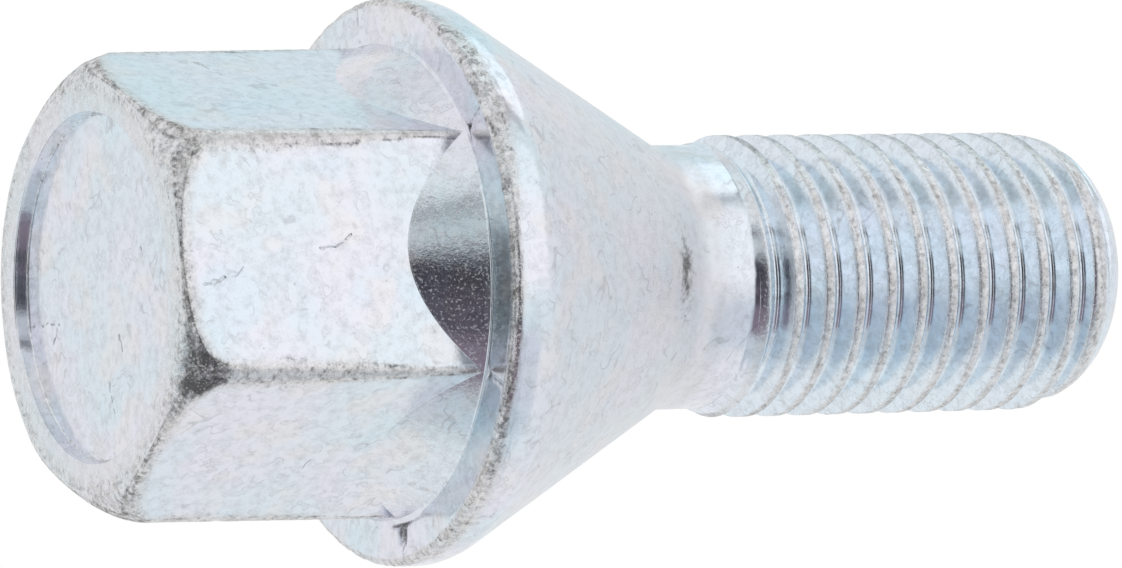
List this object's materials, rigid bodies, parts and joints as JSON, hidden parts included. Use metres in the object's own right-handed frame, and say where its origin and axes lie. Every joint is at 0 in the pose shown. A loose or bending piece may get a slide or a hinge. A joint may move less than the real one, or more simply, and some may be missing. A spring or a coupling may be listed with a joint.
{
  "type": "wheel bolt",
  "caption": "Cone-seat wheel bolt: dished hexagon head, conical collar, round flange, cone seat, plain neck and metric fine threaded shank.",
  "frame": {"origin": "centre of the flat ring at the end of the head, on which the bolt stands", "axes": "+Z along the bolt from the head to the tip, and one flat of the hexagon faces -Y"},
  "size_m": [0.0234, 0.0234, 0.0466],
  "materials": {
    "zinc_plate": "bright zinc plating with a clear bluish passivation on forged and rolled steel"
  },
  "bodies": {
    "root": {"wheel_bolt": "zinc_plate"}
  },
  "joints": []
}
